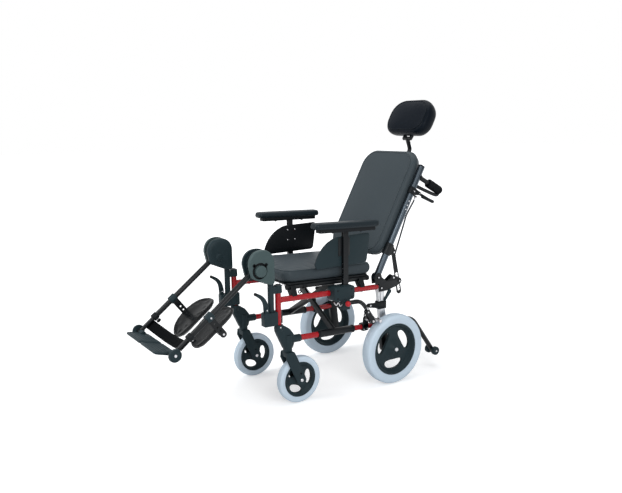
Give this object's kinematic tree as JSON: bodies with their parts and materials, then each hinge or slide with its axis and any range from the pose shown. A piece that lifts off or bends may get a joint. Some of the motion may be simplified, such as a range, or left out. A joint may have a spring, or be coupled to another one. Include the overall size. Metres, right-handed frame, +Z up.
{
  "type": "reclining wheelchair",
  "caption": "Reclining wheelchair on a tubular cross-braced frame, with tilting back and headrest, elevating legrests, swivel castors in front and solid-tyred wheels behind.",
  "frame": {"origin": "on the floor, at the middle of the chair's footprint", "axes": "+X to the sitter's left, +Y to the rear, +Z up"},
  "size_m": [0.5606, 1.459, 1.2461],
  "materials": {
    "red_paint": "gloss red enamel on tube",
    "charcoal_plastic": "satin charcoal moulding",
    "grey_plastic": "satin grey moulding",
    "black_metal": "black powder coat",
    "black_plastic": "black moulding",
    "blue_grey_metal": "blue-grey anodised extrusion",
    "pale_rubber": "pale blue-grey solid tyre",
    "grey_vinyl": "dark grey upholstery vinyl",
    "navy_vinyl": "blue-black upholstery vinyl",
    "black_webbing": "black woven webbing"
  },
  "bodies": {
    "frame": {"left_side_frame": "red_paint", "left_front_casting": "charcoal_plastic", "left_back_bracket": "black_metal", "left_armrest_receiver": "black_plastic", "right_side_frame": "red_paint", "right_front_casting": "charcoal_plastic", "right_back_bracket": "black_metal", "right_armrest_receiver": "black_plastic", "brace_arm_front": "black_metal", "brace_arm_rear": "black_metal", "seat_board": "black_plastic", "seat_cushion": "grey_vinyl"},
    "backrest": {"back_frame": "blue_grey_metal", "back_pad": "grey_vinyl", "left_push_grip": "black_plastic", "left_release_cable": "black_plastic", "right_push_grip": "black_plastic", "right_release_cable": "black_plastic"},
    "headrest_bar": {"headrest_bar": "black_metal"},
    "headrest": {"headrest_pad": "navy_vinyl"},
    "left_wheel": {"left_rear_tyre": "pale_rubber", "left_rear_rim": "charcoal_plastic"},
    "left_castor_fork": {"left_castor_fork": "charcoal_plastic"},
    "left_castor_wheel": {"left_castor_tyre": "pale_rubber", "left_castor_rim": "charcoal_plastic"},
    "left_anti_tip_rollers": {"left_anti_tip_rollers": "charcoal_plastic"},
    "left_armrest": {"left_armrest_post": "black_metal", "left_armrest_pad": "black_plastic", "left_armrest_panel": "charcoal_plastic"},
    "left_strut": {"left_recline_strut": "black_metal"},
    "left_recline_lever": {"left_recline_lever": "black_plastic"},
    "left_hanger": {"left_hanger": "black_metal", "left_knee_cover": "grey_plastic"},
    "left_swing_lever": {"left_swing_lever": "black_plastic"},
    "left_leg": {"left_leg_tube": "black_metal"},
    "left_calf": {"left_calf_pad": "grey_vinyl"},
    "left_foot": {"left_foot_tube": "black_metal", "left_heel_strap": "black_webbing"},
    "left_footplate": {"left_footplate": "charcoal_plastic"},
    "left_brake": {"left_brake_lever": "black_metal"},
    "right_wheel": {"right_rear_tyre": "pale_rubber", "right_rear_rim": "charcoal_plastic"},
    "right_castor_fork": {"right_castor_fork": "charcoal_plastic"},
    "right_castor_wheel": {"right_castor_tyre": "pale_rubber", "right_castor_rim": "charcoal_plastic"},
    "right_anti_tip_rollers": {"right_anti_tip_rollers": "charcoal_plastic"},
    "right_armrest": {"right_armrest_post": "black_metal", "right_armrest_pad": "black_plastic", "right_armrest_panel": "charcoal_plastic"},
    "right_strut": {"right_recline_strut": "black_metal"},
    "right_recline_lever": {"right_recline_lever": "black_plastic"},
    "right_hanger": {"right_hanger": "black_metal", "right_knee_cover": "grey_plastic"},
    "right_swing_lever": {"right_swing_lever": "black_plastic"},
    "right_leg": {"right_leg_tube": "black_metal"},
    "right_calf": {"right_calf_pad": "grey_vinyl"},
    "right_foot": {"right_foot_tube": "black_metal", "right_heel_strap": "black_webbing"},
    "right_footplate": {"right_footplate": "charcoal_plastic"},
    "right_brake": {"right_brake_lever": "black_metal"}
  },
  "joints": [
    {"name": "back_recline", "type": "hinge", "parent": "frame", "child": "backrest", "pos_m": [0, 0.294, 0.478], "axis": [-1, 0, 0], "range_deg": [-20, 15]},
    {"name": "headrest_height", "type": "slide", "parent": "backrest", "child": "headrest_bar", "axis": [0, 0.4772, 0.8788], "range_m": [-0.05, 0.05]},
    {"name": "headrest_tilt", "type": "hinge", "parent": "headrest_bar", "child": "headrest", "pos_m": [0, 0.63547, 1.07547], "axis": [1, 0, 0], "range_deg": [-20, 20]},
    {"name": "left_wheel_roll", "type": "hinge", "parent": "frame", "child": "left_wheel", "pos_m": [0.249, 0.3405, 0.1575], "axis": [1, 0, 0], "continuous": true},
    {"name": "left_castor_swivel", "type": "hinge", "parent": "frame", "child": "left_castor_fork", "pos_m": [0.19, -0.1745, 0.229], "axis": [0, 0, 1], "continuous": true},
    {"name": "left_castor_roll", "type": "hinge", "parent": "left_castor_fork", "child": "left_castor_wheel", "pos_m": [0.19, -0.1225, 0.1], "axis": [1, 0, 0], "continuous": true},
    {"name": "left_anti_tip_roll", "type": "hinge", "parent": "frame", "child": "left_anti_tip_rollers", "pos_m": [0.19, 0.6405, 0.075], "axis": [1, 0, 0], "continuous": true},
    {"name": "left_armrest_height", "type": "slide", "parent": "frame", "child": "left_armrest", "axis": [0, 0, 1], "range_m": [-0.04, 0.06]},
    {"name": "left_strut_swing", "type": "hinge", "parent": "backrest", "child": "left_strut", "pos_m": [0.19, 0.38874, 0.58018], "axis": [1, 0, 0], "range_deg": [-9, 7]},
    {"name": "left_recline_squeeze", "type": "hinge", "parent": "backrest", "child": "left_recline_lever", "pos_m": [0.19, 0.53777, 0.83266], "axis": [1, 0, 0], "range_deg": [0, 10], "stiffness_Nm_per_rad": 1.5, "springref_deg": -5.73},
    {"name": "left_hanger_swing", "type": "hinge", "parent": "frame", "child": "left_hanger", "pos_m": [0.19, -0.2155, 0.515], "axis": [0, 0, 1], "range_deg": [0, 90]},
    {"name": "left_swing_release", "type": "hinge", "parent": "left_hanger", "child": "left_swing_lever", "pos_m": [0.197, -0.2755, 0.421], "axis": [1, 0, 0], "range_deg": [0, 20], "stiffness_Nm_per_rad": 1, "springref_deg": -8.59},
    {"name": "left_leg_raise", "type": "hinge", "parent": "left_hanger", "child": "left_leg", "pos_m": [0.176, -0.2765, 0.612], "axis": [-1, 0, 0], "range_deg": [-32, 38]},
    {"name": "left_calf_tilt", "type": "hinge", "parent": "left_leg", "child": "left_calf", "pos_m": [0.088, -0.44887, 0.34535], "axis": [1, 0, 0], "range_deg": [-12, 12]},
    {"name": "left_foot_length", "type": "slide", "parent": "left_leg", "child": "left_foot", "axis": [0, -0.788, -0.6157], "range_m": [0, 0.06]},
    {"name": "left_footplate_flip", "type": "hinge", "parent": "left_foot", "child": "left_footplate", "pos_m": [0.176, -0.66341, 0.30971], "axis": [-1, 0, 0], "range_deg": [0, 95]},
    {"name": "left_brake_swing", "type": "hinge", "parent": "frame", "child": "left_brake", "pos_m": [0.25, 0.22224, 0.303], "axis": [-1, 0, 0], "range_deg": [0, 12]},
    {"name": "right_wheel_roll", "type": "hinge", "parent": "frame", "child": "right_wheel", "pos_m": [-0.249, 0.3405, 0.1575], "axis": [1, 0, 0], "continuous": true},
    {"name": "right_castor_swivel", "type": "hinge", "parent": "frame", "child": "right_castor_fork", "pos_m": [-0.19, -0.1745, 0.229], "axis": [0, 0, 1], "continuous": true},
    {"name": "right_castor_roll", "type": "hinge", "parent": "right_castor_fork", "child": "right_castor_wheel", "pos_m": [-0.19, -0.1225, 0.1], "axis": [1, 0, 0], "continuous": true},
    {"name": "right_anti_tip_roll", "type": "hinge", "parent": "frame", "child": "right_anti_tip_rollers", "pos_m": [-0.19, 0.6405, 0.075], "axis": [1, 0, 0], "continuous": true},
    {"name": "right_armrest_height", "type": "slide", "parent": "frame", "child": "right_armrest", "axis": [0, 0, 1], "range_m": [-0.04, 0.06]},
    {"name": "right_strut_swing", "type": "hinge", "parent": "backrest", "child": "right_strut", "pos_m": [-0.19, 0.38874, 0.58018], "axis": [1, 0, 0], "range_deg": [-9, 7]},
    {"name": "right_recline_squeeze", "type": "hinge", "parent": "backrest", "child": "right_recline_lever", "pos_m": [-0.19, 0.53777, 0.83266], "axis": [1, 0, 0], "range_deg": [0, 10], "stiffness_Nm_per_rad": 1.5, "springref_deg": -5.73},
    {"name": "right_hanger_swing", "type": "hinge", "parent": "frame", "child": "right_hanger", "pos_m": [-0.19, -0.2155, 0.515], "axis": [0, 0, -1], "range_deg": [0, 90]},
    {"name": "right_swing_release", "type": "hinge", "parent": "right_hanger", "child": "right_swing_lever", "pos_m": [-0.197, -0.2755, 0.421], "axis": [1, 0, 0], "range_deg": [0, 20], "stiffness_Nm_per_rad": 1, "springref_deg": -8.59},
    {"name": "right_leg_raise", "type": "hinge", "parent": "right_hanger", "child": "right_leg", "pos_m": [-0.176, -0.2765, 0.612], "axis": [-1, 0, 0], "range_deg": [-32, 38]},
    {"name": "right_calf_tilt", "type": "hinge", "parent": "right_leg", "child": "right_calf", "pos_m": [-0.088, -0.44887, 0.34535], "axis": [1, 0, 0], "range_deg": [-12, 12]},
    {"name": "right_foot_length", "type": "slide", "parent": "right_leg", "child": "right_foot", "axis": [0, -0.788, -0.6157], "range_m": [0, 0.06]},
    {"name": "right_footplate_flip", "type": "hinge", "parent": "right_foot", "child": "right_footplate", "pos_m": [-0.176, -0.66341, 0.30971], "axis": [-1, 0, 0], "range_deg": [0, 95]},
    {"name": "right_brake_swing", "type": "hinge", "parent": "frame", "child": "right_brake", "pos_m": [-0.25, 0.22224, 0.303], "axis": [-1, 0, 0], "range_deg": [0, 12]}
  ],
  "couplings": [
    {"joint": "left_strut_swing", "follows": "back_recline", "ratio": 0.415},
    {"joint": "right_strut_swing", "follows": "back_recline", "ratio": 0.415}
  ]
}
